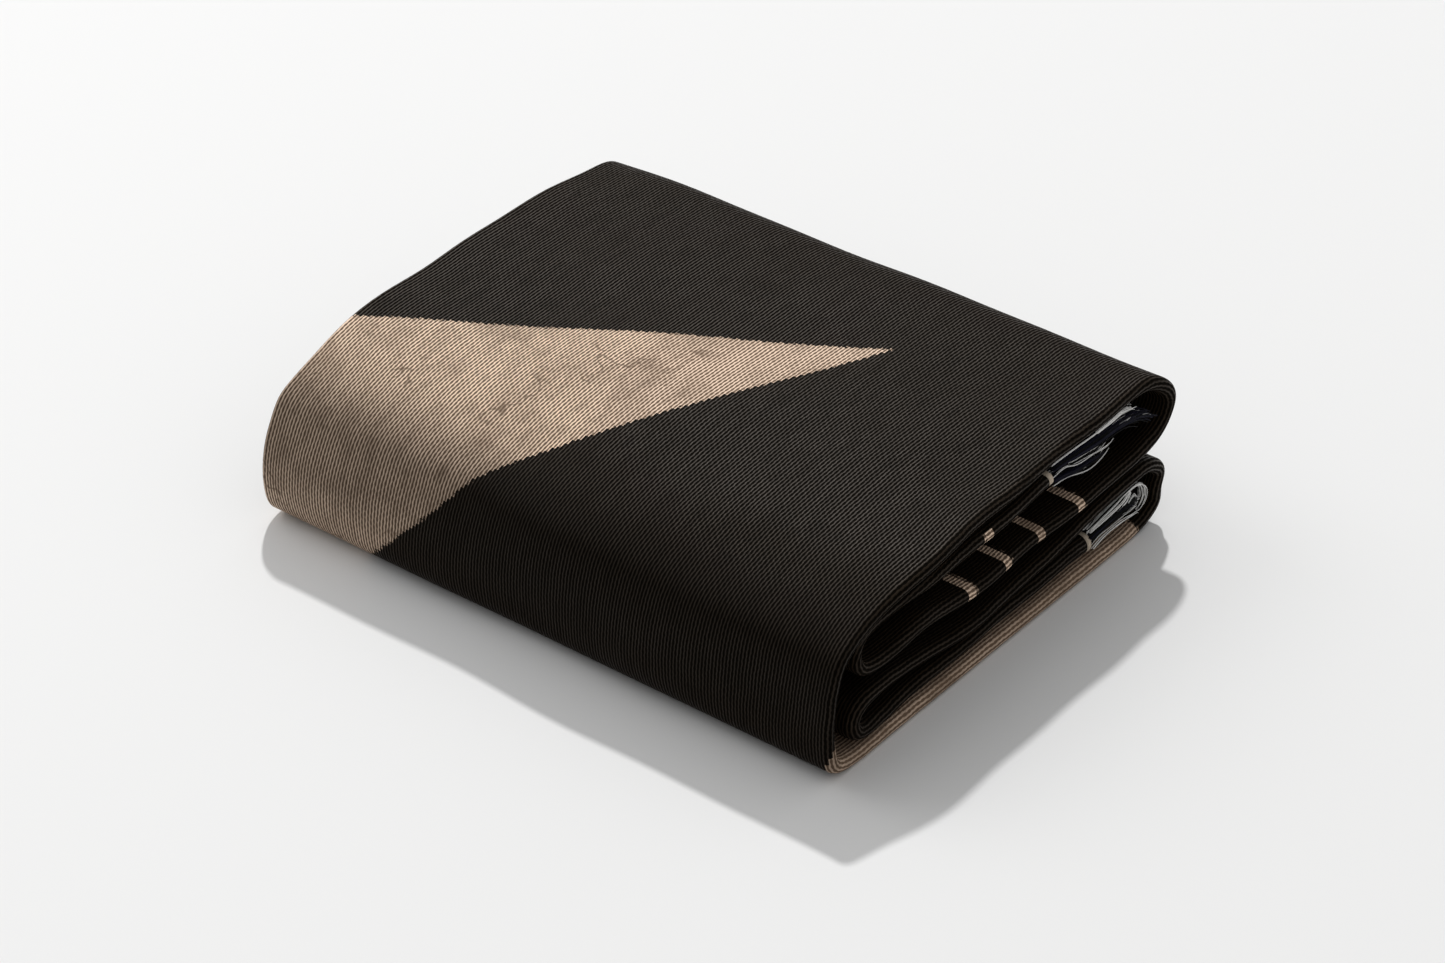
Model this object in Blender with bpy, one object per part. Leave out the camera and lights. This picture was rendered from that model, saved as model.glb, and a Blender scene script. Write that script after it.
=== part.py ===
"""A woven throw blanket, folded in thirds across its width, its ends turned in, closed like a book.

Metres, +Z up. The long front fold runs along X and lies at -Y. The layered end that shows the
plies is at +X, and the two big back folds are at +Y. The origin is at the middle of the underside.

The cloth is one sheet. Across its width it is folded in thirds, so it becomes a strip of three
plies. The strip's two ends are turned in, and the strip is closed over them, six layers high.
"""
import math

import bmesh
import bpy
import numpy as np

MM = 0.001

# Driving sizes, in millimetres.
FOLDED_LENGTH = 467.0       # along the front fold
STACK_HEIGHT = 119.0        # of the folded blanket
SHEET = 1.8                 # thickness of the woven cloth
SELVEDGE_GAP = 9.0          # from the middle ply's free edge to the fold around it
OUTER_SELVEDGE_BACK = 7.0   # how far the free edge of the innermost ply stands back at the left
REST_BAND = 0.4             # cloth this near the surface is pressed flat on it

STRIP_STEPS = 90            # sections along the rolled strip
FLAT_STEP = 60.0            # a section is due after this much length, in millimetres,
BEND_STEP = 0.36            # or after this much turning, in radians
FINE_STEPS = 24             # steps from one row to the next while the curve is worked out
FOLD_STEPS = 5              # steps around the big end fold
TIGHT_FOLD_STEPS = 3        # steps around the small end fold
PLY_STEPS = 4               # steps along each ply

BACKING_GAP = 0.3           # between the cloth's end and the knotted band of its fringe
BACKING_LENGTH = 4.0        # of that band
LOCKS_PER_PLY = 16          # fringe locks along each ply at one end of the cloth
LOCK_SHARE = 0.45           # part of the band's width that the locks take up
LOCK_STEPS = 3              # steps along a lock
LOCK_TAPER = 0.25           # how much slimmer a lock is at its tip
REACH_TURN = 2.1            # the locks' lengths rise and fall by this turn from lock to lock,
REACH_START = 0.6           # from this angle on,
REACH_FADE = 0.37           # and by this slower turn, all in radians
LEAN_TURN = 1.7             # the turn of the locks' lean from lock to lock

# The rolled strip, one row for each bend or change of slope of its middle line, in millimetres.
# It starts at the lower tucked-in end, runs out to the front, turns back, goes round the lower
# back fold, forward along the underside, up the front, back over the top, round the upper back
# fold, forward, and turns back again to the upper tucked-in end.
# half is half of the strip's thickness, and inset is how far its right end stands back.
STRIP_ROWS = (
    # place, y, z, half, inset
    ("lower end", 272, 21.8, 7.0, 2.0),
    ("lower tuck", 215, 23.2, 5.4, 1.5),
    ("lower tuck middle", 150, 23.6, 4.8, 1.0),
    ("lower tuck front", 90, 20.4, 4.8, 1.0),
    ("lower turn under", 46, 18.2, 5.2, 1.0),
    ("lower turn low", 28, 20.2, 5.8, 0.5),
    ("lower turn curl", 20.0, 24.6, 6.0, 0.0),
    ("lower turn front", 17, 31.8, 6.0, 0.0),
    ("lower turn crest", 20.6, 38.8, 6.0, 0.0),
    ("lower turn top", 29, 42.6, 5.7, 0.5),
    ("second layer front", 50, 43.6, 5.0, 1.0),
    ("second layer dip", 84, 38.6, 4.6, 1.0),
    ("second layer", 125, 36.2, 4.6, 0.5),
    ("second layer middle", 175, 36.2, 4.6, 0.5),
    ("second layer rise", 225, 39.6, 4.8, 0.5),
    ("second layer back", 270, 45.6, 5.0, 0.0),
    ("lower back fold top", 314, 51.6, 5.0, 0.0),
    ("lower back fold shoulder", 337, 51.4, 5.0, 0.0),
    ("lower back fold bulge", 355, 38, 5.2, 0.0),
    ("lower back fold pinch", 352.5, 26, 5.2, 0.5),
    ("lower back fold heel", 352, 14, 5.0, 1.0),
    ("underside back", 336, 5.6, 5.0, 1.0),
    ("underside", 292, 5.0, 5.0, 0.0),
    ("underside middle", 180, 5.0, 5.0, 0.0),
    ("underside front", 60, 5.0, 5.0, 0.0),
    ("front heel", 11, 5.5, 5.2, 0.0),
    ("front corner", -2, 11.6, 5.2, 0.0),
    ("front low", -6.6, 27, 4.8, 0.0),
    ("front bulge", -6.6, 52, 4.2, 0.0),
    ("front high", -3.6, 72, 4.2, 0.0),
    ("front shoulder", 4, 88, 4.8, 0.0),
    ("top front", 20, 96, 5.0, 0.0),
    ("top rise", 44, 101.6, 4.8, 0.0),
    ("top slope", 92, 108.6, 4.9, 0.0),
    ("top", 145, 113.2, 4.9, 0.0),
    ("top middle", 205, 114.2, 4.8, 1.5),
    ("top back", 262, 114.4, 4.6, 4.5),
    ("upper back fold start", 314, 113.6, 4.8, 4.0),
    ("upper back fold shoulder", 346, 110, 5.0, 1.5),
    ("upper back fold bulge", 363, 92.5, 5.2, 0.0),
    ("upper back fold under", 354.5, 75, 5.2, 0.0),
    ("third layer back", 324, 66.4, 5.0, 0.0),
    ("third layer", 262, 63, 4.8, 0.0),
    ("third layer middle", 180, 62.6, 4.8, 0.0),
    ("third layer before ridge", 122, 63.6, 5.2, 0.0),
    ("third layer ridge", 88, 66.2, 6.6, 0.0),
    ("third layer hollow", 60, 64, 4.8, 0.0),
    ("upper turn under", 38, 65.0, 4.6, 0.0),
    ("upper turn low", 27.5, 69.0, 4.6, 0.0),
    ("upper turn front", 23.0, 77.0, 4.6, 0.5),
    ("upper turn crest", 26.8, 84.0, 4.5, 3.0),
    ("upper turn top", 37, 88.6, 4.4, 5.0),
    ("upper tuck front", 66, 92.0, 4.4, 5.0),
    ("upper tuck rise", 94, 94.8, 4.4, 1.5),
    ("upper tuck", 128, 97, 4.6, 0.0),
    ("upper tuck middle", 172, 98.8, 4.6, 0.0),
    ("upper end", 221, 102, 4.6, 0.0),
)

# How the stack changes from its right end to its left end.
LEFT_TOP_DROP = 0.014       # share of the height lost at the left end
LEFT_DROP_START = 110.0     # from the front, where that begins
LEFT_DROP_END = 170.0       # and where it is whole
CORNER_DROP = 0.045         # further share lost at the back left corner
CORNER_START = 235.0        # from the front, where that begins
CORNER_END = 345.0          # and where it is whole
CORNER_POWER = 5            # how closely it keeps to the left end
SHOULDER_BACK = 7.0         # how much rounder the front shoulder is at the left end
SHOULDER_HEIGHT = 88.0      # height of that shoulder's middle
SHOULDER_SPREAD = 28.0      # its reach up and down
SHOULDER_DEPTH = 45.0       # its reach into the stack
SHOULDER_SOFTNESS = 9.0     # over which it fades
TOP_WAVE = 1.0              # rise and fall of the top along its length
TOP_WAVE_LENGTH = 74.0      # of that wave along X, for one radian
TOP_WAVE_DEPTH = 96.0       # and along Y
TOP_WAVE_START = 0.7        # the wave's angle at the middle of the length

# The fringes: the row of each end of the strip, the longest and shortest lock, how far the locks
# sink at their tips, and how far their tips lean along X, in millimetres.
FRINGES = (
    # name, at strip's end, longest, shortest, sink, lean
    ("fringe_upper", True, 112.0, 62.0, 20.0, 2.0),
    ("fringe_lower", False, 56.0, 44.0, 1.0, 1.5),
)

CLOTH_COLOUR = (0.045, 0.040, 0.035, 1.0)
FRINGE_COLOUR = (0.42, 0.41, 0.40, 1.0)
CLOTH_ROUGHNESS = 0.95


def clear_scene():
    for thing in list(bpy.data.objects):
        bpy.data.objects.remove(thing, do_unlink=True)


def smooth_through(points, steps):
    """A smooth curve through the rows of points (centripetal Catmull-Rom), steps to each stretch."""
    points = np.asarray(points, dtype=float)
    ends = np.vstack([2 * points[0] - points[1], points, 2 * points[-1] - points[-2]])
    pieces = []
    for i in range(len(points) - 1):
        four = ends[i:i + 4]
        knots = [0.0]
        for a, b in zip(four, four[1:]):
            knots.append(knots[-1] + math.sqrt(np.linalg.norm((b - a)[:2])))
        t0, t1, t2, t3 = knots
        t = np.linspace(t1, t2, steps, endpoint=False)[:, None]
        a1 = (t1 - t) / (t1 - t0) * four[0] + (t - t0) / (t1 - t0) * four[1]
        a2 = (t2 - t) / (t2 - t1) * four[1] + (t - t1) / (t2 - t1) * four[2]
        a3 = (t3 - t) / (t3 - t2) * four[2] + (t - t2) / (t3 - t2) * four[3]
        b1 = (t2 - t) / (t2 - t0) * a1 + (t - t0) / (t2 - t0) * a2
        b2 = (t3 - t) / (t3 - t1) * a2 + (t - t1) / (t3 - t1) * a3
        pieces.append((t2 - t) / (t2 - t1) * b1 + (t - t1) / (t2 - t1) * b2)
    pieces.append(points[-1:])
    return np.vstack(pieces)


def strip_sections(count):
    """Sections of the rolled strip, closer together where it bends more.

    Each row is y, z, the outward direction's y and z, half and inset.
    """
    fine = smooth_through([row[1:] for row in STRIP_ROWS], FINE_STEPS)
    step = np.diff(fine[:, :2], axis=0)
    length = np.hypot(step[:, 0], step[:, 1])
    heading = np.unwrap(np.arctan2(step[:, 1], step[:, 0]))
    turn = np.abs(np.diff(heading, prepend=heading[0]))
    weight = np.concatenate([[0.0], np.cumsum(length / FLAT_STEP + turn / BEND_STEP)])
    wanted = np.linspace(0.0, weight[-1], count)
    rows = np.column_stack([np.interp(wanted, weight, column) for column in fine.T])
    middles = 0.5 * (weight[1:] + weight[:-1])
    angle = np.interp(wanted, middles, heading)
    outward = np.column_stack([-np.sin(angle), np.cos(angle)])
    return np.column_stack([rows[:, :2], outward, rows[:, 2:]])


def ply_steps(locks):
    """Where one ply's points stand along it, from 0 to 1: in even steps, or at its locks' edges."""
    if not locks:
        return np.linspace(0.0, 1.0, PLY_STEPS + 1)
    starts = (np.arange(locks) + (1 - LOCK_SHARE) / 2) / locks
    edges = np.column_stack([starts, starts + LOCK_SHARE / locks]).ravel()
    return np.concatenate([[0.0], edges, [1.0]])


def lock_starts():
    """The profile point at which each lock starts, ply by ply."""
    ply = 2 * LOCKS_PER_PLY + 2
    firsts = (0, ply + TIGHT_FOLD_STEPS - 1, 2 * ply + TIGHT_FOLD_STEPS + FOLD_STEPS - 2)
    return [first + 1 + 2 * lock for first in firsts for lock in range(LOCKS_PER_PLY)]


def ply_profile(half, inset, locks=0):
    """The three plies of one section: points x, w on both faces of the cloth.

    The middle ply starts at its free edge at the right, turns over at the left into the outer
    ply, which turns under at the right around the free edge into the inner ply.
    """
    apart = half - SHEET / 2
    right = FOLDED_LENGTH / 2 - inset
    left = -FOLDED_LENGTH / 2
    big_centre = right - half
    small_centre = left + apart / 2 + SHEET / 2
    free_edge = big_centre + apart - SHEET / 2 - SELVEDGE_GAP

    def straight(x_from, x_to, w):
        x = x_from + (x_to - x_from) * ply_steps(locks)
        return np.column_stack([x, np.full_like(x, w)])

    def turn(x_centre, w_centre, radius, start, sweep, steps):
        angle = start + np.linspace(0.0, sweep, steps + 1)[1:-1]
        return np.column_stack([x_centre + radius * np.cos(angle), w_centre + radius * np.sin(angle)])

    line = np.vstack([
        straight(free_edge, small_centre, 0.0),
        turn(small_centre, apart / 2, apart / 2, -math.pi / 2, -math.pi, TIGHT_FOLD_STEPS),
        straight(small_centre, big_centre, apart),
        turn(big_centre, 0.0, apart, math.pi / 2, -math.pi, FOLD_STEPS),
        straight(big_centre, left + OUTER_SELVEDGE_BACK, -apart),
    ])
    along = np.gradient(line, axis=0)
    along /= np.linalg.norm(along, axis=1)[:, None]
    across = np.column_stack([-along[:, 1], along[:, 0]]) * SHEET / 2
    return np.vstack([line + across, (line - across)[::-1]])


def place(profile, section):
    """Carries a flat profile to its section of the strip."""
    y, z, out_y, out_z = section[:4]
    x, w = profile.T
    return np.column_stack([x, y + w * out_y, z + w * out_z])


def eased(value, start, end):
    """0 at start and 1 at end, with a soft change between them."""
    share = np.clip((value - start) / (end - start), 0.0, 1.0)
    return share * share * (3 - 2 * share)


def settle(points):
    """Lets the stack change along its length, and presses the underside flat."""
    x, y, z = points.T
    to_left = 0.5 - x / FOLDED_LENGTH
    drop = LEFT_TOP_DROP * eased(to_left, 0.0, 1.0) * eased(y, LEFT_DROP_START, LEFT_DROP_END)
    drop = drop + CORNER_DROP * to_left ** CORNER_POWER * eased(y, CORNER_START, CORNER_END)
    along_x = np.sin(x / TOP_WAVE_LENGTH + TOP_WAVE_START)
    wave = TOP_WAVE / STACK_HEIGHT * along_x * np.sin(y / TOP_WAVE_DEPTH)
    near_shoulder = np.exp(-((z - SHOULDER_HEIGHT) / SHOULDER_SPREAD) ** 2)
    near_front = 1 / (1 + np.exp((y - SHOULDER_DEPTH) / SHOULDER_SOFTNESS))
    y = y + SHOULDER_BACK * eased(to_left, 0.0, 1.0) * near_shoulder * near_front
    z = z * (1 - drop + wave)
    z = np.where(z < REST_BAND, 0.0, z)
    return np.column_stack([x, y, z])


def loft(rings):
    """A closed tube through rings of equal length, its two ends closed across the cloth."""
    count = len(rings[0])
    pairs = count // 2
    faces = []
    for i in range(len(rings) - 1):
        for j in range(count):
            k = (j + 1) % count
            faces.append((i * count + j, i * count + k, (i + 1) * count + k, (i + 1) * count + j))
    last = (len(rings) - 1) * count
    for j in range(pairs - 1):
        faces.append((j, count - 1 - j, count - 2 - j, j + 1))
        faces.append((last + j, last + j + 1, last + count - 2 - j, last + count - 1 - j))
    return np.vstack(rings), faces


def add_locks(points, faces, ring, away, longest, shortest, sink, lean):
    """Draws every second piece of the band's free end, its last ring, out into a lock of yarn."""
    base = len(points) - ring
    points = list(points)
    faces = list(faces)
    for lock, j in enumerate(lock_starts()):
        row = (base + j, base + j + 1, base + ring - 2 - j, base + ring - 1 - j)
        faces.remove(row)
        start = [points[corner] for corner in row]
        middle = sum(start) / 4
        swing = math.sin(REACH_TURN * lock + REACH_START) * math.cos(REACH_FADE * lock)
        share = 0.5 + 0.5 * swing
        reach = shortest + (longest - shortest) * share
        for step in range(1, LOCK_STEPS + 1):
            part = step / LOCK_STEPS
            depth = reach * part
            move = np.array([
                lean * part * math.sin(LEAN_TURN * lock),
                away[0] * depth,
                away[1] * depth - sink * (depth / longest) ** 2,
            ])
            size = 1.0 - LOCK_TAPER * part
            new = []
            for corner in start:
                points.append(middle + (corner - middle) * size + move)
                new.append(len(points) - 1)
            for side in range(4):
                other = (side + 1) % 4
                faces.append((row[side], row[other], new[other], new[side]))
            row = new
        faces.append(tuple(row))
    return np.array(points), faces


def make_material(name, colour):
    material = bpy.data.materials.new(name)
    material.use_nodes = True
    shader = material.node_tree.nodes["Principled BSDF"]
    shader.inputs["Base Color"].default_value = colour
    shader.inputs["Roughness"].default_value = CLOTH_ROUGHNESS
    shader.inputs["Metallic"].default_value = 0.0
    return material


def make_object(name, points, faces, material, collection):
    mesh = bpy.data.meshes.new(name)
    mesh.from_pydata([tuple(point) for point in points * MM], [], [tuple(face) for face in faces])
    work = bmesh.new()
    work.from_mesh(mesh)
    bmesh.ops.recalc_face_normals(work, faces=work.faces[:])
    work.to_mesh(mesh)
    work.free()
    mesh.shade_smooth()
    mesh.materials.append(material)
    thing = bpy.data.objects.new(name, mesh)
    collection.objects.link(thing)
    return thing


def blanket_body():
    rings = [place(ply_profile(row[4], row[5]), row) for row in strip_sections(STRIP_STEPS)]
    points, faces = loft(rings)
    return settle(points), faces


def fringe_body(at_end, longest, shortest, sink, lean):
    """The knotted band that holds one end's fringe, with the locks fused into it."""
    edge = strip_sections(STRIP_STEPS)[-1 if at_end else 0]
    out_y, out_z = edge[2:4]
    away = np.array([out_z, -out_y]) * (1 if at_end else -1)
    rings = []
    for distance in (BACKING_GAP, BACKING_GAP + BACKING_LENGTH):
        section = edge.copy()
        section[:2] += away * distance
        rings.append(place(ply_profile(edge[4], edge[5], LOCKS_PER_PLY), section))
    points, faces = loft(rings)
    points, faces = add_locks(points, faces, len(rings[0]), away, longest, shortest, sink, lean)
    return settle(points), faces


def build():
    clear_scene()
    collection = bpy.data.collections.new("Folded blanket")
    bpy.context.scene.collection.children.link(collection)
    cloth = make_material("Woven cloth", CLOTH_COLOUR)
    yarn = make_material("Fringe yarn", FRINGE_COLOUR)
    points, faces = blanket_body()
    middle = (points.min(axis=0) + points.max(axis=0)) / 2 * (1, 1, 0)
    make_object("blanket", points - middle, faces, cloth, collection)
    for name, *sizes in FRINGES:
        points, faces = fringe_body(*sizes)
        make_object(name, points - middle, faces, yarn, collection)


build()
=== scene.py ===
import math

import bpy
import numpy as np
from mathutils import Matrix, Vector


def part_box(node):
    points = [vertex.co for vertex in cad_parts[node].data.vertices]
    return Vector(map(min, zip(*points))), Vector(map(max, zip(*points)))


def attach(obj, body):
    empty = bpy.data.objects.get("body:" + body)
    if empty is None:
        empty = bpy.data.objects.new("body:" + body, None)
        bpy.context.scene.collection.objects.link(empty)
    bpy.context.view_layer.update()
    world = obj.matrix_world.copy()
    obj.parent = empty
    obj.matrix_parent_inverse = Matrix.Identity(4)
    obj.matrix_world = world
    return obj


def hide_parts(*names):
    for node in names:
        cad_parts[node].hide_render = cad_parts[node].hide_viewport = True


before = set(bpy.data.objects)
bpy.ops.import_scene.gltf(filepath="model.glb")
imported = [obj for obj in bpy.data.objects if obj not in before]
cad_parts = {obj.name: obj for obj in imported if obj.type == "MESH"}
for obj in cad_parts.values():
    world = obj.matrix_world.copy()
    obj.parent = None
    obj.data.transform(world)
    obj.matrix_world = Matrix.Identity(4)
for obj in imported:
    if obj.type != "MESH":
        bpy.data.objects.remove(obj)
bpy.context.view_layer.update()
print("frame loaded:", sorted(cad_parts))

mm = 0.001  # sizes below are in millimetres, and Blender's are in metres


# the photograph's camera, which looks down on the layered end and the long front fold
cameraPlan = {
    "imageWidth": 1445,
    "focalLength": 4775,  # in the photograph's pixels
    "azimuth": 38.1,  # degrees, from straight in front towards the layered end
    "elevation": 34.7,  # degrees above the floor
    "place": (1599.6, -2035.0, 1819.5),
    "sensorWidth": 36.0,
}


def makeCamera(plan):
    # back = (sin a cos e, -cos a cos e, sin e), right = (cos a, sin a, 0), up = back x right
    a = math.radians(plan["azimuth"])
    e = math.radians(plan["elevation"])
    back = np.array([math.sin(a) * math.cos(e), -math.cos(a) * math.cos(e), math.sin(e)])
    right = np.array([math.cos(a), math.sin(a), 0.0])
    turned = np.eye(4)
    turned[:3, 0] = right
    turned[:3, 1] = np.cross(back, right)
    turned[:3, 2] = back
    turned[:3, 3] = np.array(plan["place"]) * mm
    data = bpy.data.cameras.new("camera")
    data.sensor_width = plan["sensorWidth"]
    data.lens = plan["focalLength"] / plan["imageWidth"] * plan["sensorWidth"]
    data.clip_end = 50.0
    camera = bpy.data.objects.new("camera", data)
    camera.matrix_world = Matrix(turned.tolist())
    bpy.context.collection.objects.link(camera)
    bpy.context.scene.camera = camera


makeCamera(cameraPlan)
print("camera placed")


class Wire:
    # one output of a node; Python's operators on it add Math nodes
    def __init__(self, net, socket):
        self.net = net
        self.socket = socket

    def __add__(self, other):
        return self.net.sum("ADD", self, other)

    def __radd__(self, other):
        return self.net.sum("ADD", other, self)

    def __sub__(self, other):
        return self.net.sum("SUBTRACT", self, other)

    def __rsub__(self, other):
        return self.net.sum("SUBTRACT", other, self)

    def __mul__(self, other):
        return self.net.sum("MULTIPLY", self, other)

    def __rmul__(self, other):
        return self.net.sum("MULTIPLY", other, self)

    def __truediv__(self, other):
        return self.net.sum("DIVIDE", self, other)

    def __rtruediv__(self, other):
        return self.net.sum("DIVIDE", other, self)


class Net:
    # the nodes of one material or sky
    def __init__(self, owner):
        self.owner = owner
        owner.use_nodes = True
        self.tree = owner.node_tree
        self.tree.nodes.clear()

    def node(self, kind, settings=None, inputs=None, output=0):
        made = self.tree.nodes.new(kind)
        for name, value in (settings or {}).items():
            setattr(made, name, value)
        for name, value in (inputs or {}).items():
            if isinstance(value, Wire):
                self.tree.links.new(value.socket, made.inputs[name])
            else:
                made.inputs[name].default_value = value
        return Wire(self, made.outputs[output]) if output is not None else made

    def sum(self, operation, a, b=0.0):
        return self.node("ShaderNodeMath", {"operation": operation}, {0: a, 1: b})

    def cosine(self, angle):
        return self.sum("COSINE", angle)

    def floor(self, value):
        return self.sum("FLOOR", value)

    def step(self, value, start, end):
        # 0 below start, 1 above end, and eased between them
        settings = {"interpolation_type": "SMOOTHSTEP"}
        return self.node("ShaderNodeMapRange", settings, {0: value, 1: start, 2: end, 3: 0.0, 4: 1.0})

    def noise(self, vector, scale, detail=2.0, roughness=0.5):
        inputs = {"Vector": vector, "Scale": scale, "Detail": detail, "Roughness": roughness}
        return self.node("ShaderNodeTexNoise", {"noise_dimensions": "3D"}, inputs)

    def chance(self, a, b):
        # one steady random number for each pair
        pair = self.node("ShaderNodeCombineXYZ", None, {0: a, 1: b})
        return self.node("ShaderNodeTexWhiteNoise", {"noise_dimensions": "3D"}, {"Vector": pair})

    def blend(self, factor, a, b):
        return self.node("ShaderNodeMix", {"data_type": "RGBA"}, {0: factor, 6: a, 7: b}, 2)

    def tinted(self, colour, shade):
        # the colour times a number
        grey = self.node("ShaderNodeCombineColor", None, {0: shade, 1: shade, 2: shade})
        settings = {"data_type": "RGBA", "blend_type": "MULTIPLY"}
        return self.node("ShaderNodeMix", settings, {0: 1.0, 6: colour, 7: grey}, 2)

    def finish(self, inputs):
        shader = self.node("ShaderNodeBsdfPrincipled", None, inputs)
        self.node("ShaderNodeOutputMaterial", None, {0: shader}, None)
        return self.owner


# the folded cloth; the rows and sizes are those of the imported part
blanket = {
    "foldedLength": 467.0,
    "stackHeight": 119.0,
    "sheet": 1.8,
    "selvedgeGap": 9.0,
    "outerSelvedgeBack": 7.0,
    "restBand": 0.4,
    "pathSteps": 418,
    "plySteps": (22, 9, 40, 14, 27),  # middle ply, left fold, outer ply, right fold, inner ply
    "flatStep": 60.0,
    "bendStep": 0.36,
    "fineSteps": 24,
    "softenings": 40,
    # place, y, z, half of the strip's thickness, how far its right end stands back
    "stripRows": (
        ("lower end", 272, 21.8, 7.0, 2.0),
        ("lower tuck", 215, 23.2, 5.4, 1.5),
        ("lower tuck middle", 150, 23.6, 4.8, 1.0),
        ("lower tuck front", 90, 20.4, 4.8, 1.0),
        ("lower turn under", 46, 18.2, 5.2, 1.0),
        ("lower turn low", 28, 20.2, 5.8, 0.5),
        ("lower turn curl", 20.0, 24.6, 6.0, 0.0),
        ("lower turn front", 17, 31.8, 6.0, 0.0),
        ("lower turn crest", 20.6, 38.8, 6.0, 0.0),
        ("lower turn top", 29, 42.6, 5.7, 0.5),
        ("second layer front", 50, 43.6, 5.0, 1.0),
        ("second layer dip", 84, 38.6, 4.6, 1.0),
        ("second layer", 125, 36.2, 4.6, 0.5),
        ("second layer middle", 175, 36.2, 4.6, 0.5),
        ("second layer rise", 225, 39.6, 4.8, 0.5),
        ("second layer back", 270, 45.6, 5.0, 0.0),
        ("lower back fold top", 314, 51.6, 5.0, 0.0),
        ("lower back fold shoulder", 337, 51.4, 5.0, 0.0),
        ("lower back fold bulge", 355, 38, 5.2, 0.0),
        ("lower back fold pinch", 352.5, 26, 5.2, 0.5),
        ("lower back fold heel", 352, 14, 5.0, 1.0),
        ("underside back", 336, 5.6, 5.0, 1.0),
        ("underside", 292, 5.0, 5.0, 0.0),
        ("underside middle", 180, 5.0, 5.0, 0.0),
        ("underside front", 60, 5.0, 5.0, 0.0),
        ("front heel", 11, 5.5, 5.2, 0.0),
        ("front corner", -2, 11.6, 5.2, 0.0),
        ("front low", -6.6, 27, 4.8, 0.0),
        ("front bulge", -6.6, 52, 4.2, 0.0),
        ("front high", -3.6, 72, 4.2, 0.0),
        ("front shoulder", 4, 88, 4.8, 0.0),
        ("top front", 20, 96, 5.0, 0.0),
        ("top rise", 44, 101.6, 4.8, 0.0),
        ("top slope", 92, 108.6, 4.9, 0.0),
        ("top", 145, 113.2, 4.9, 0.0),
        ("top middle", 205, 114.2, 4.8, 1.5),
        ("top back", 262, 114.4, 4.6, 4.5),
        ("upper back fold start", 314, 113.6, 4.8, 4.0),
        ("upper back fold shoulder", 346, 110, 5.0, 1.5),
        ("upper back fold bulge", 363, 92.5, 5.2, 0.0),
        ("upper back fold under", 354.5, 75, 5.2, 0.0),
        ("third layer back", 324, 66.4, 5.0, 0.0),
        ("third layer", 262, 63, 4.8, 0.0),
        ("third layer middle", 180, 62.6, 4.8, 0.0),
        ("third layer before ridge", 122, 63.6, 5.2, 0.0),
        ("third layer ridge", 88, 66.2, 6.6, 0.0),
        ("third layer hollow", 60, 64, 4.8, 0.0),
        ("upper turn under", 38, 65.0, 4.6, 0.0),
        ("upper turn low", 27.5, 69.0, 4.6, 0.0),
        ("upper turn front", 23.0, 77.0, 4.6, 0.5),
        ("upper turn crest", 26.8, 84.0, 4.5, 3.0),
        ("upper turn top", 37, 88.6, 4.4, 5.0),
        ("upper tuck front", 66, 92.0, 4.4, 5.0),
        ("upper tuck rise", 94, 94.8, 4.4, 1.5),
        ("upper tuck", 128, 97, 4.6, 0.0),
        ("upper tuck middle", 172, 98.8, 4.6, 0.0),
        ("upper end", 221, 102, 4.6, 0.0),
    ),
    "leftTopDrop": 0.014,
    "leftDropReach": (110.0, 170.0),
    "cornerDrop": 0.045,
    "cornerReach": (235.0, 345.0),
    "cornerPower": 5,
    "shoulderBack": 7.0,
    "shoulderHeight": 88.0,
    "shoulderSpread": 28.0,
    "shoulderDepth": 45.0,
    "shoulderSoftness": 9.0,
    "topWave": 1.0,
    "topWaveLength": 74.0,
    "topWaveDepth": 96.0,
    "topWaveStart": 0.7,
    "shoulderSink": 4.0,
    # soft creases: size, millimetres per radian across and along, start
    "topCreases": ((0.6, 34.0, 61.0, 0.4), (0.55, -52.0, 25.0, 2.1), (0.3, 17.0, -33.0, 4.0)),
    "frontCreases": ((1.1, 41.0, 30.0, 1.2), (0.8, -23.0, 19.0, 0.3)),
    "endCreases": ((1.2, 26.0, 37.0, 0.9), (0.9, -15.0, 21.0, 2.6)),
}


def smoothThrough(points, steps):
    # centripetal Catmull-Rom: each stretch blends its four nearest rows, with knots that grow by the
    # square root of the distance between them
    ends = np.vstack([2 * points[0] - points[1], points, 2 * points[-1] - points[-2]])
    pieces = []
    for i in range(len(points) - 1):
        four = ends[i:i + 4]
        gaps = np.sqrt(np.linalg.norm(np.diff(four[:, :2], axis=0), axis=1))
        t0, t1, t2, t3 = np.concatenate([[0.0], np.cumsum(gaps)])
        t = np.linspace(t1, t2, steps, endpoint=False)[:, None]
        a1 = (t1 - t) / (t1 - t0) * four[0] + (t - t0) / (t1 - t0) * four[1]
        a2 = (t2 - t) / (t2 - t1) * four[1] + (t - t1) / (t2 - t1) * four[2]
        a3 = (t3 - t) / (t3 - t2) * four[2] + (t - t2) / (t3 - t2) * four[3]
        b1 = (t2 - t) / (t2 - t0) * a1 + (t - t0) / (t2 - t0) * a2
        b2 = (t3 - t) / (t3 - t1) * a2 + (t - t1) / (t3 - t1) * a3
        pieces.append((t2 - t) / (t2 - t1) * b1 + (t - t1) / (t2 - t1) * b2)
    pieces.append(points[-1:])
    return np.vstack(pieces)


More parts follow.
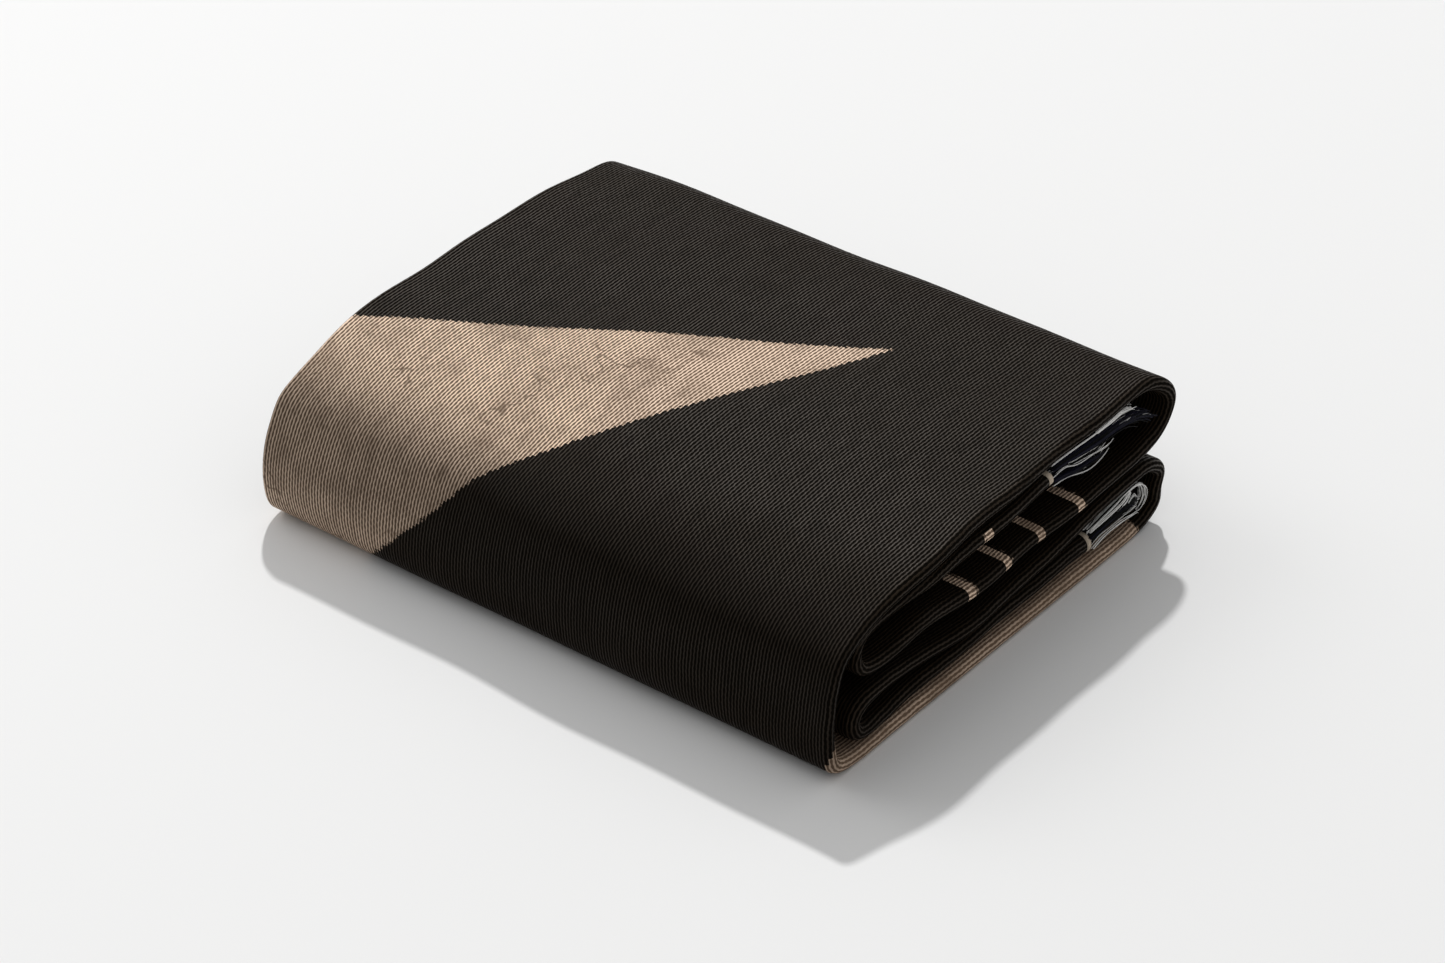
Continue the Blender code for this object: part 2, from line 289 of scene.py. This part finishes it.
def stripSections(plan):
    # sections stand closer where the strip bends: each one is due after so much length plus so much
    # turning; a section is y, z, outward y, outward z, half, inset and its distance along the strip
    rows = np.array([row[1:] for row in plan["stripRows"]], dtype=float)
    fine = smoothThrough(rows, plan["fineSteps"])
    for _ in range(plan["softenings"]):
        # each point moves halfway to the middle of its neighbours, which rounds the tightest turns
        fine[1:-1] = 0.5 * fine[1:-1] + 0.25 * (fine[:-2] + fine[2:])
    step = np.diff(fine[:, :2], axis=0)
    length = np.hypot(step[:, 0], step[:, 1])
    heading = np.unwrap(np.arctan2(step[:, 1], step[:, 0]))
    turn = np.abs(np.diff(heading, prepend=heading[0]))
    weight = np.concatenate([[0.0], np.cumsum(length / plan["flatStep"] + turn / plan["bendStep"])])
    along = np.concatenate([[0.0], np.cumsum(length)])
    wanted = np.linspace(0.0, weight[-1], plan["pathSteps"])
    columns = [np.interp(wanted, weight, column) for column in fine.T]
    angle = np.interp(wanted, 0.5 * (weight[1:] + weight[:-1]), heading)
    distance = np.interp(wanted, weight, along)
    y, z, half, inset = columns
    return np.column_stack([y, z, -np.sin(angle), np.cos(angle), half, inset, distance])


def foldedPlies(half, inset, plan, plySteps):
    # across a section: the middle ply at w = 0 runs left, a half circle of radius apart / 2 turns it
    # into the outer ply at w = apart, and a half circle of radius apart turns that into the inner
    # ply at w = -apart; u is the distance along this line, so u - x is steady on the outer ply
    half = np.atleast_1d(half)[:, None]
    inset = np.atleast_1d(inset)[:, None]
    sheet = plan["sheet"]
    apart = half - sheet / 2
    right = plan["foldedLength"] / 2 - inset
    left = -plan["foldedLength"] / 2
    bigCentre = right - half
    smallCentre = left + apart / 2 + sheet / 2
    freeEdge = bigCentre + apart - sheet / 2 - plan["selvedgeGap"]

    def straight(start, end, w, count):
        x = start + (end - start) * np.linspace(0.0, 1.0, count)[None, :]
        return np.stack([x, w + 0 * x], axis=-1)

    def turn(centreX, centreW, radius, start, count):
        angle = start - math.pi * np.linspace(0.0, 1.0, count + 2)[None, 1:-1]
        return np.stack([centreX + radius * np.cos(angle), centreW + radius * np.sin(angle)], axis=-1)

    middle, tight, outer, big, inner = plySteps
    line = np.concatenate([
        straight(freeEdge, smallCentre, 0.0, middle),
        turn(smallCentre, apart / 2, apart / 2, -math.pi / 2, tight),
        straight(smallCentre, bigCentre, apart, outer),
        turn(bigCentre, 0.0, apart, math.pi / 2, big),
        straight(bigCentre, left + plan["outerSelvedgeBack"] + 0 * half, -apart, inner),
    ], axis=1)
    run = np.cumsum(np.linalg.norm(np.diff(line, axis=1, prepend=line[:, :1]), axis=-1), axis=1)
    first = middle + tight
    u = run - run[:, first:first + 1] + line[:, first:first + 1, 0] - left
    along = np.gradient(line, axis=1)
    along = along / np.linalg.norm(along, axis=-1)[..., None]
    across = np.stack([-along[..., 1], along[..., 0]], axis=-1)
    return line, across, u


def eased(value, start, end):
    # 3 t squared minus 2 t cubed, where t goes from 0 at start to 1 at end
    share = np.clip((value - start) / (end - start), 0.0, 1.0)
    return share * share * (3 - 2 * share)


def creased(creases, a, b):
    # the sum of size x sin(a / its length + b / its length + start)
    return sum(size * np.sin(a / alongA + b / alongB + start) for size, alongA, alongB, start in creases)


def settled(points, plan):
    # the height is scaled by 1 - drop + wave, and the shoulder moves back by a bump times a step;
    # then soft creases push the top up and down, the front in and out, and both ends sideways
    x, y, z = np.moveaxis(points, -1, 0)
    toLeft = 0.5 - x / plan["foldedLength"]
    drop = plan["leftTopDrop"] * eased(toLeft, 0.0, 1.0) * eased(y, *plan["leftDropReach"])
    drop = drop + plan["cornerDrop"] * toLeft ** plan["cornerPower"] * eased(y, *plan["cornerReach"])
    alongX = np.sin(x / plan["topWaveLength"] + plan["topWaveStart"])
    wave = plan["topWave"] / plan["stackHeight"] * alongX * np.sin(y / plan["topWaveDepth"])
    nearShoulder = np.exp(-((z - plan["shoulderHeight"]) / plan["shoulderSpread"]) ** 2)
    nearFront = 1 / (1 + np.exp((y - plan["shoulderDepth"]) / plan["shoulderSoftness"]))
    y = y + plan["shoulderBack"] * eased(toLeft, 0.0, 1.0) * nearShoulder * nearFront
    z = z * (1 - drop + wave)
    lifted = eased(z, 15.0, 110.0)
    z = z - plan["shoulderSink"] * (1 - eased(y, 0.0, 80.0)) * lifted
    nearEnd = np.abs(x / plan["foldedLength"] * 2) ** 5
    inFront = 1 - eased(y, 0.0, 90.0)
    onFloor = eased(z, 0.0, 30.0)
    x = x + creased(plan["endCreases"], y, z) * nearEnd * np.sign(x) * onFloor
    z = z + creased(plan["topCreases"], x, y) * lifted * eased(y, -5.0, 60.0)
    y = y + creased(plan["frontCreases"], x, z) * inFront * onFloor
    z = np.where(z < plan["restBand"], 0.0, z)
    return np.stack([x, y, z], axis=-1)


def carried(line, sections):
    # a section's point x, w goes to x, y + w times outward y, z + w times outward z
    y, z, outY, outZ = sections[:, :4].T[:, :, None]
    x = line[..., 0]
    w = line[..., 1]
    return np.stack([x, y + w * outY, z + w * outZ], axis=-1)


def makeMesh(name, points, faces):
    # faces all turn outwards: their signed volume, the sum of each face's first corner dotted with
    # its area vector, is made positive
    corners = points[faces]
    area = np.cross(corners[:, 2] - corners[:, 0], corners[:, 3] - corners[:, 1])
    if np.sum(corners[:, 0] * area) < 0:
        faces = faces[:, ::-1]
    mesh = bpy.data.meshes.new(name)
    mesh.from_pydata(points.tolist(), [], faces.tolist())
    mesh.update()
    mesh.shade_smooth()
    thing = bpy.data.objects.new(name, mesh)
    bpy.context.collection.objects.link(thing)
    return thing


def setUv(thing, name, uv):
    layer = thing.data.uv_layers.new(name=name)
    corner = np.empty(len(thing.data.loops), dtype=np.int32)
    thing.data.loops.foreach_get("vertex_index", corner)
    layer.data.foreach_set("uv", uv[corner].astype(np.float32).ravel())


def closedSheet(upper, lower):
    # two grids of the same shape, one for each side of the cloth, and a rim of quads round them
    rows, columns = upper.shape[:2]
    index = np.arange(rows * columns).reshape(rows, columns)
    other = index + rows * columns

    def quads(a, b, c, d):
        return np.stack([a.ravel(), b.ravel(), c.ravel(), d.ravel()], axis=-1)

    faces = np.vstack([
        quads(index[:-1, :-1], index[:-1, 1:], index[1:, 1:], index[1:, :-1]),
        quads(other[:-1, :-1], other[1:, :-1], other[1:, 1:], other[:-1, 1:]),
        quads(index[0, :-1], other[0, :-1], other[0, 1:], index[0, 1:]),
        quads(index[-1, 1:], other[-1, 1:], other[-1, :-1], index[-1, :-1]),
        quads(index[1:, 0], other[1:, 0], other[:-1, 0], index[:-1, 0]),
        quads(index[:-1, -1], other[:-1, -1], other[1:, -1], index[1:, -1]),
    ])
    return np.vstack([upper.reshape(-1, 3), lower.reshape(-1, 3)]), faces


low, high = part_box("blanket")
boxMiddle = (np.array(low) + np.array(high)) / 2 * (1, 1, 0)


def clothShape(plan):
    # the cloth's two sides stand half a sheet either way from its middle surface
    sections = stripSections(plan)
    line, across, u = foldedPlies(sections[:, 4], sections[:, 5], plan, plan["plySteps"])
    sides = [settled(carried(line + s * across * plan["sheet"] / 2, sections), plan) for s in (1, -1)]
    both = np.vstack([side.reshape(-1, 3) for side in sides])
    middle = (both.min(axis=0) + both.max(axis=0)) / 2 * (1, 1, 0)
    v = np.broadcast_to(sections[:, 6:7], u.shape)
    return sides, middle, np.stack([u, v], axis=-1)


(upperSide, lowerSide), clothMiddle, clothUv = clothShape(blanket)
clothPoints, clothFaces = closedSheet(upperSide, lowerSide)
clothPoints = (clothPoints - clothMiddle) * mm + boxMiddle
cloth = makeMesh("wovenCloth", clothPoints, clothFaces)
setUv(cloth, "weave", np.tile(clothUv.reshape(-1, 2), (2, 1)) * mm)
print("cloth made:", len(clothFaces), "faces")


# the weave and its colours
weave = {
    "ribPitch": 2.5,  # ribs run along the strip
    "pickPitch": 4.85,  # one stitch, with its neighbours half a stitch on
    "runLength": 13.0,
    # painted groove shade: the two hole colours are darker copies of the crest colours, standing for the
    # shade in the weave's grooves
    "darkGrooveShade": (0.0005, 0.0004, 0.0003, 1.0),
    "darkCrest": (0.0150, 0.0090, 0.0045, 1.0),
    "paleGrooveShade": (0.15, 0.102, 0.070, 1.0),
    "paleCrest": (0.90, 0.68, 0.515, 1.0),
    "darkBrown": (0.20, 0.135, 0.090, 1.0),
    "roughness": (1.0, 0.37),  # in the grooves and on the yarn's rounded crests
    "shine": 0.09,
    "shineTint": (1.0, 0.76, 0.50, 1.0),
    "waxShine": 0.20,  # the untinted part of the gloss, on the crests alone
    "waxRoughness": 0.5,
    "bumpDepth": 0.48,
    # where painted shade darkens the hanging front, along the strip
    "paintedFrontShade": (988.0, 1110.0),
}

# the pale field on the top and front: a plain triangle, by its tip and the slopes of its two edges;
# the lower edge is a little bowed
triangle = {
    "tip": (312.0, 1333.0),
    "upperSlope": 0.575,
    "lowerSlope": 2.2,
    "bow": 0.0030,  # how much the slope falls with each millimetre from the tip
    "bowReach": 260.0,
}

# the pale patch on the bottom layer's end roll, between two places along the strip; its front edge
# leans, and it starts a little before the roll
endPatch = {
    "from": 661.0,
    "to": 990.0,
    "lean": 2.2,
    "start": 460.0,
    # how far the end patch is mixed towards the dark brown, at the least
    "brownMix": 0.5,
}

# plain pale bars across the end rolls, by their middles along the strip
endBars = {
    "middles": (1560.0, 1602.0, 1640.0, 1681.0, 1938.0),
    "width": 8.0,
    "start": 465.0,
    "end": 496.0,
}


def clothMaterial(plan, field, patch, bars):
    net = Net(bpy.data.materials.new("ribbed woven cloth"))
    uv = net.node("ShaderNodeUVMap", {"uv_map": "weave"})
    parts = net.node("ShaderNodeSeparateXYZ", None, {0: uv}, None)
    across = Wire(net, parts.outputs["X"]) * (1 / mm)
    along = Wire(net, parts.outputs["Y"]) * (1 / mm)
    drift = net.noise(uv, 90.0, 1.0)
    ribAngle = (across + (drift - 0.5) * 0.9) * (2 * math.pi / plan["ribPitch"])
    pickAngle = (along + (drift - 0.5) * 1.6) * (2 * math.pi / plan["pickPitch"])
    rib = net.cosine(ribAngle)
    picks = net.cosine(pickAngle)
    gap = net.sum("SINE", ribAngle * 0.5) * picks
    crest = net.cosine(ribAngle * 0.5) * net.sum("SINE", pickAngle)
    fuzz = net.noise(uv, 700.0, 3.0, 0.7)
    height = 0.5 + 0.44 * rib + 0.21 * gap + 0.05 * crest + (fuzz - 0.5) * 0.6
    # painted groove shade: light is 1 on the yarn's crests and falls to 0 in the grooves, where the colour
    # turns to the darker groove colour
    light = net.step(height, 0.3, 0.82)
    # the field's edges step from stitch to stitch; stitches and short runs of a rib have own shades
    cellAcross = (net.floor(across / plan["ribPitch"]) + 0.5) * plan["ribPitch"]
    half = plan["pickPitch"] / 2
    cellAlong = (net.floor(along / half) + 0.5) * half
    stitch = net.chance(cellAcross, cellAlong)
    run = net.chance(cellAcross, net.floor(along / plan["runLength"]))
    broad = net.noise(uv, 9.0, 3.0, 0.55)
    light = light * (0.52 + 0.36 * stitch + 0.44 * run + 0.5 * (broad - 0.4))
    edge = (net.noise(uv, 260.0, 3.0, 0.6) - 0.5) * 5.0
    fromTip = field["tip"][0] - cellAcross
    above = field["tip"][1] - fromTip * field["upperSlope"] - cellAlong + edge
    slope = field["lowerSlope"] - field["bow"] * net.sum("MINIMUM", fromTip, field["bowReach"])
    below = cellAlong - field["tip"][1] + fromTip * slope + edge
    pale = net.step(above, -0.3, 0.3) * net.step(below, -0.3, 0.3)
    front = patch["to"] + (cellAcross - patch["start"]) * patch["lean"] - cellAlong + edge
    inPatch = net.step(cellAlong - patch["from"] + edge, -0.3, 0.3) * net.step(front, -0.3, 0.3)
    inPatch = inPatch * net.step(cellAcross, patch["start"] - 0.3, patch["start"] + 0.3)
    pale = net.sum("MAXIMUM", pale, inPatch)
    onRoll = net.step(cellAcross, bars["start"] - 0.3, bars["start"] + 0.3)
    onRoll = onRoll * net.step(bars["end"] - cellAcross, -0.3, 0.3)
    for middle in bars["middles"]:
        near = bars["width"] / 2 - net.sum("ABSOLUTE", cellAlong - middle) + edge * 0.5
        pale = net.sum("MAXIMUM", pale, net.step(near, -0.3, 0.3) * onRoll)
    # worn patches, and thin dark veins where a slow noise crosses its middle value
    blotch = net.step(net.noise(uv, 22.0, 6.0, 0.66), 0.44, 0.76)
    crossing = net.sum("ABSOLUTE", net.noise(uv, 13.0, 3.0, 0.6) - 0.5)
    vein = (1.0 - net.step(crossing, 0.0, 0.012)) * net.step(net.noise(uv, 17.0, 2.0), 0.52, 0.62)
    brownMix = net.sum("MAXIMUM", blotch * 0.55, vein * 0.85)
    # the end patch is mixed at least half way towards the dark brown, so it is darker than the rest of the
    # pale field
    brownMix = net.sum("MAXIMUM", brownMix, inPatch * (patch["brownMix"] + 0.4 * blotch))
    paleTop = net.blend(brownMix, plan["paleCrest"], plan["darkBrown"])
    # both colours run from the painted groove shade up to the crest colour by light
    paleColour = net.blend(light, plan["paleGrooveShade"], paleTop)
    darkColour = net.blend(light, plan["darkGrooveShade"], plan["darkCrest"])
    # painted shade: the hanging front's colour is darkened, most of all under its shoulder, where it turns
    # away from the light
    low, high = plan["paintedFrontShade"]
    paintedShade = 0.30 * net.step(along, low, low + 8) * (1.0 - net.step(along, high - 50, high + 40))
    paintedShade = paintedShade + 0.26 * net.step(along, low + 10, low + 50) * (1.0 - net.step(along, high - 40, high + 10))
    colour = net.tinted(net.blend(pale, darkColour, paleColour), 1.0 - paintedShade)
    depth = plan["bumpDepth"] * mm
    bump = net.node("ShaderNodeBump", None, {"Strength": 1.0, "Distance": depth, "Height": height})
    grooveRoughness, crestRoughness = plan["roughness"]
    gloss = net.step(height, 0.5, 0.88) * (0.72 + 0.28 * run)
    return net.finish({
        "Base Color": colour,
        "Roughness": grooveRoughness + (crestRoughness - grooveRoughness) * gloss,
        "Specular IOR Level": plan["shine"],
        "Specular Tint": plan["shineTint"],
        "Coat Weight": gloss * plan["waxShine"],
        "Coat Roughness": plan["waxRoughness"],
        "Normal": bump,
    })


cloth.data.materials.append(clothMaterial(weave, triangle, endPatch, endBars))
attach(cloth, "root")
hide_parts("blanket")


# the fringes: loose yarn ends from a narrow knotted edge, one row for each end of the cloth
fringePlan = {
    "upper": {
        "node": "fringe_upper",
        "atEnd": True,
        "strands": 330,
        "topRoute": ((222, 106.5), (260, 108), (300, 106), (322, 99), (336, 88)),
        "lowRoute": ((225, 97.5), (255, 91), (280, 90), (300, 88), (318, 84)),
        "reach": (0.55, 1.0),
        "shades": (0.03, 0.60),  # share of white strands, and of near-black ones; the rest are navy
        "seed": 5,
        # the bundles at the layered end: strands, spread, shares of white and of near-black, route
        "bundles": (
            (4, 0.3, 1.0, 0.0, ((226, 109.5), (260, 110), (300, 109.5), (316, 107), (328, 102))),
            (9, 1.2, 0.7, 0.1, ((276, 109), (296, 108.5), (318, 104.5), (328, 101))),
            (6, 0.3, 1.0, 0.0, (
                (227, 101), (240, 102.5), (252, 99), (268, 97.5), (281, 95), (291, 95), (295, 98), (293, 102),
            )),
            (3, 0.3, 1.0, 0.0, ((256, 100.5), (270, 98.8), (282, 99.5), (290, 102))),
            (5, 0.35, 1.0, 0.0, ((229, 93.5), (243, 93), (256, 89.5), (268, 88), (281, 89.5), (291, 93))),
            (95, 2.9, 0.0, 0.45, ((228, 106), (262, 104), (300, 101), (328, 94), (346, 84))),
            (50, 2.0, 0.0, 0.7, ((229, 97), (258, 93), (284, 92))),
            (4, 0.5, 1.0, 0.0, ((298, 102), (312, 100.5), (326, 96), (340, 90))),
        ),
    },
    "lower": {
        "node": "fringe_lower",
        "atEnd": False,
        "strands": 330,
        "topRoute": ((272, 29), (292, 38), (310, 44), (324, 43), (331, 35), (329, 27)),
        "lowRoute": ((273, 15.5), (290, 17), (306, 18.5), (318, 20), (326, 22), (328, 25)),
        "reach": (0.7, 1.0),
        "shades": (0.08, 0.75),
        "seed": 9,
        "bundles": (
            (15, 1.1, 0.9, 0.1, (
                (275, 33), (296, 38.5), (314, 43), (326, 43), (335, 36), (337, 27), (332, 20.5), (320, 20),
            )),
            (6, 0.5, 0.95, 0.0, ((276, 30), (298, 34), (312, 38), (318, 41), (316, 36), (302, 30))),
            (9, 0.8, 0.9, 0.1, ((277, 25), (296, 28), (312, 31), (322, 36), (327, 31), (325, 25))),
            (5, 0.3, 1.0, 0.0, ((279, 16), (292, 20), (316, 21.5), (334, 19))),
            (110, 3.6, 0.0, 0.9, ((276, 26), (300, 30), (318, 32), (329, 28))),
        ),
    },
    "gap": 0.3,
    "band": 4.0,
    "bandSteps": (40, 8, 60, 14, 40),
    "strandSteps": 18,
    "strandRadius": 0.5,
    "wander": 1.6,
    "bundleDepth": (2.5, 11.0),  # of the bundles, in from the layered end
    "white": (0.93, 0.92, 0.90),
    "black": (0.003, 0.003, 0.003),
    "navy": (0.006, 0.006, 0.018),
    "bandColour": (0.50, 0.42, 0.33),
}


def strandTubes(centres, radius, sides):
    # each ring stands at right angles to its strand: side = X less its part along the strand,
    # up = strand x side, and a point is centre + radius (cos a side + sin a up)
    count, steps = centres.shape[:2]
    forward = np.gradient(centres, axis=1)
    forward = forward / np.linalg.norm(forward, axis=-1)[..., None]
    side = np.array([1.0, 0.0, 0.0]) - forward * forward[..., :1]
    side = side / np.linalg.norm(side, axis=-1)[..., None]
    up = np.cross(forward, side)
    angle = np.linspace(0.0, 2 * math.pi, sides, endpoint=False)[:, None]
    ring = np.cos(angle) * side[:, :, None] + np.sin(angle) * up[:, :, None]
    points = centres[:, :, None] + radius[..., None, None] * ring
    index = np.arange(count * steps * sides).reshape(count, steps, sides)
    after = np.roll(index, -1, axis=2)
    quads = np.stack([index[:, :-1], after[:, :-1], after[:, 1:], index[:, 1:]], axis=-1).reshape(-1, 4)
    ends = np.vstack([index[:, 0, ::-1], index[:, -1]])
    return points.reshape(-1, 3), np.vstack([quads, ends])


def knottedBand(plan, edge, away):
    # the cloth's own section, carried on past its end by the gap and then by the band's width
    line, across, u = foldedPlies(edge[4], edge[5], blanket, plan["bandSteps"])
    sides = ([], [])
    for distance in (plan["gap"], plan["gap"] + plan["band"]):
        section = edge.copy()
        section[:2] += away * distance
        for side, s in zip(sides, (1, -1)):
            side.append(carried(line + s * across * blanket["sheet"] / 2, section[None])[0])
    points, faces = closedSheet(np.stack(sides[0]), np.stack(sides[1]))
    return line[0], u[0] - u[0, 0], points, faces


def alongRoute(route, t):
    # the route's smooth curve, read at shares t of its length
    route = smoothThrough(np.array(route, dtype=float), 12)
    length = np.concatenate([[0.0], np.cumsum(np.linalg.norm(np.diff(route, axis=0), axis=1))])
    return np.stack([np.interp(t * length[-1], length, route[:, k]) for k in (0, 1)], axis=-1)


def rowStrands(plan, row, edge, away, line, run, chance):
    # a strand starts at its root in the cloth's edge and eases onto a mix of the two routes, by its
    # root's height, and wanders sideways by slow sines
    count = row["strands"]
    place = np.sort(chance.uniform(0.0, run[-1], count))
    rootX = np.interp(place, run, line[:, 0])
    rootW = np.interp(place, run, line[:, 1])
    share = 0.5 + 0.5 * rootW / np.abs(line[:, 1]).max() * np.sign(edge[3])
    share = np.clip(share + chance.normal(0.0, 0.08, count), 0.0, 1.0)[:, None, None]
    t = np.linspace(0.0, 1.0, plan["strandSteps"]) * chance.uniform(*row["reach"], (count, 1))
    mixed = alongRoute(row["lowRoute"], t) * (1 - share) + alongRoute(row["topRoute"], t) * share
    start = edge[:2] + rootW[:, None] * edge[2:4] + away * (plan["gap"] + plan["band"] - 1.0)
    mixed = mixed + (start[:, None] - mixed[:, :1]) * (1 - eased(t, 0.0, 0.35)[..., None])
    waves = chance.uniform(0.0, 2 * math.pi, (3, count, 1))
    size = chance.normal(0.0, plan["wander"], (3, count, 1))
    x = rootX[:, None] + eased(t, 0.0, 0.5) * (size[0] * np.sin(5 * t + waves[0]) - 1.0)
    y = mixed[..., 0] + 0.3 * t * size[1] * np.sin(7 * t + waves[1])
    z = mixed[..., 1] + 0.5 * t * size[2] * np.sin(9 * t + waves[2])
    limit = blanket["foldedLength"] / 2 - 3
    return np.stack([np.clip(x, -limit, limit), y, z], axis=-1)


def bundleStrands(plan, bundle, chance):
    # a strand keeps its own small offset from the bundle's route, which grows along it, and lies at
    # its own depth behind the layered end
    count, spread, route = bundle[0], bundle[1], bundle[4]
    starts = chance.uniform(0.0, 0.03, (count, 1))
    ends = chance.uniform(0.82, 1.0, (count, 1))
    t = starts + (ends - starts) * np.linspace(0.0, 1.0, plan["strandSteps"])
    place = alongRoute(route, t)
    offset = chance.normal(0.0, spread * 0.6, (count, 1, 2)) * (0.35 + 0.65 * t[..., None])
    waves = chance.uniform(0.0, 2 * math.pi, (2, count, 1))
    x = blanket["foldedLength"] / 2 - chance.uniform(*plan["bundleDepth"], (count, 1))
    x = x + 0.8 * t * np.sin(6 * t + waves[0])
    place = place + offset + 0.35 * np.sin(14 * t + waves[1])[..., None] * (0.2 + t[..., None])
    return np.concatenate([x[..., None], place], axis=-1)


def yarnTones(plan, count, white, black, chance):
    # each strand is white, near-black or navy by chance, and a little lighter or darker
    pick = chance.uniform(0.0, 1.0, (count, 1))
    tone = np.where(pick < white, plan["white"], np.where(pick < white + black, plan["black"], plan["navy"]))
    return tone * chance.uniform(0.7, 1.05, (count, 1))


def fringeShape(plan, row):
    edge = stripSections(blanket)[-1 if row["atEnd"] else 0]
    away = np.array([edge[3], -edge[2]]) * (1.0 if row["atEnd"] else -1.0)
    line, run, points, faces = knottedBand(plan, edge, away)
    chance = np.random.default_rng(row["seed"])
    centres = [rowStrands(plan, row, edge, away, line, run, chance)]
    tones = [yarnTones(plan, row["strands"], *row["shades"], chance)]
    for bundle in row["bundles"]:
        centres.append(bundleStrands(plan, bundle, chance))
        tones.append(yarnTones(plan, bundle[0], bundle[2], bundle[3], chance))
    centres = np.concatenate(centres)
    taper = 1 - 0.5 * np.linspace(0.0, 1.0, plan["strandSteps"]) ** 4
    radius = plan["strandRadius"] * chance.uniform(0.75, 1.2, (len(centres), 1)) * taper
    strandPoints, strandFaces = strandTubes(centres, radius, 4)
    strandTones = np.repeat(np.concatenate(tones), plan["strandSteps"] * 4, axis=0)
    faces = np.vstack([faces, strandFaces + len(points)])
    tones = np.vstack([np.tile(plan["bandColour"], (len(points), 1)), strandTones])
    points = np.vstack([points, strandPoints])
    return (settled(points, blanket) - clothMiddle) * mm + boxMiddle, faces, tones


def yarnMaterial():
    net = Net(bpy.data.materials.new("loose fringe yarn"))
    tone = net.node("ShaderNodeAttribute", {"attribute_name": "yarnTone"})
    place = net.node("ShaderNodeTexCoord", None, None, "Object")
    twist = net.noise(place, 900.0, 2.0, 0.6)
    colour = net.tinted(tone, 0.65 + 0.7 * twist)
    bump = net.node("ShaderNodeBump", None, {"Strength": 0.6, "Distance": 0.0002, "Height": twist})
    return net.finish({"Base Color": colour, "Roughness": 0.75, "Specular IOR Level": 0.15, "Normal": bump})


yarn = yarnMaterial()
for name in ("upper", "lower"):
    points, faces, tones = fringeShape(fringePlan, fringePlan[name])
    piece = makeMesh("fringeYarn_" + name, points, faces)
    attribute = piece.data.attributes.new("yarnTone", "FLOAT_COLOR", "POINT")
    opaque = np.column_stack([tones, np.ones(len(tones))]).astype(np.float32)
    attribute.data.foreach_set("color", opaque.ravel())
    piece.data.materials.append(yarn)
    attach(piece, "root")
    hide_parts(fringePlan[name]["node"])
    print("fringe made:", name, len(faces), "faces")


# floor and light
studio = {
    "floorSize": 14.0,
    "floorColour": (0.80, 0.80, 0.797, 1.0),
    # each light: from, distance and width in metres, power in watts
    "window": ((-0.6, 0.72, 1.0), 20.0, 0.9, 2580.0),
    "fill": ((-1.0, -0.25, 0.9), 3.0, 2.0, 13.0),
    # the sky is brighter where it faces this way
    "skyFrom": (-0.30, 0.20, 0.93),
    "skyRange": (0.36, 0.80),
}


def makeFloor(plan):
    size = plan["floorSize"] / 2
    mesh = bpy.data.meshes.new("floor")
    corners = [(-size, -size, 0), (size, -size, 0), (size, size, 0), (-size, size, 0)]
    mesh.from_pydata(corners, [], [(0, 1, 2, 3)])
    floor = bpy.data.objects.new("floor", mesh)
    bpy.context.collection.objects.link(floor)
    net = Net(bpy.data.materials.new("pale floor"))
    inputs = {"Base Color": plan["floorColour"], "Roughness": 0.9, "Specular IOR Level": 0.2}
    mesh.materials.append(net.finish(inputs))


def makeLight(name, direction, distance, width, power):
    # a round panel that faces the object: its back axis points away from it
    direction = np.array(direction) / np.linalg.norm(direction)
    side = np.cross([0.0, 0.0, 1.0], direction)
    side = side / np.linalg.norm(side)
    turned = np.eye(4)
    turned[:3, 0] = side
    turned[:3, 1] = np.cross(direction, side)
    turned[:3, 2] = direction
    turned[:3, 3] = direction * distance
    data = bpy.data.lights.new(name, "AREA")
    data.shape = "DISK"
    data.size = width
    data.energy = power
    light = bpy.data.objects.new(name, data)
    light.matrix_world = Matrix(turned.tolist())
    bpy.context.collection.objects.link(light)


def makeSky(plan):
    # strength = low + (high - low) x the eased cosine between a direction and skyFrom; where the
    # sky is seen behind the floor it is plain white
    world = bpy.data.worlds.new("studio")
    net = Net(world)
    place = net.node("ShaderNodeTexCoord", None, None, "Generated")
    inputs = {0: place, 1: plan["skyFrom"]}
    facing = net.node("ShaderNodeVectorMath", {"operation": "DOT_PRODUCT"}, inputs, "Value")
    low, high = plan["skyRange"]
    strength = low + (high - low) * net.step(facing, -0.3, 1.0)
    seen = net.node("ShaderNodeLightPath")
    strength = strength * (1.0 - seen) + seen * 0.9
    sky = net.node("ShaderNodeBackground", None, {"Strength": strength})
    net.node("ShaderNodeOutputWorld", None, {0: sky}, None)
    bpy.context.scene.world = world


makeFloor(studio)
makeSky(studio)
for name in ("window", "fill"):
    makeLight(name, *studio[name])
bpy.context.scene.view_settings.view_transform = "Standard"
print("floor and light made")
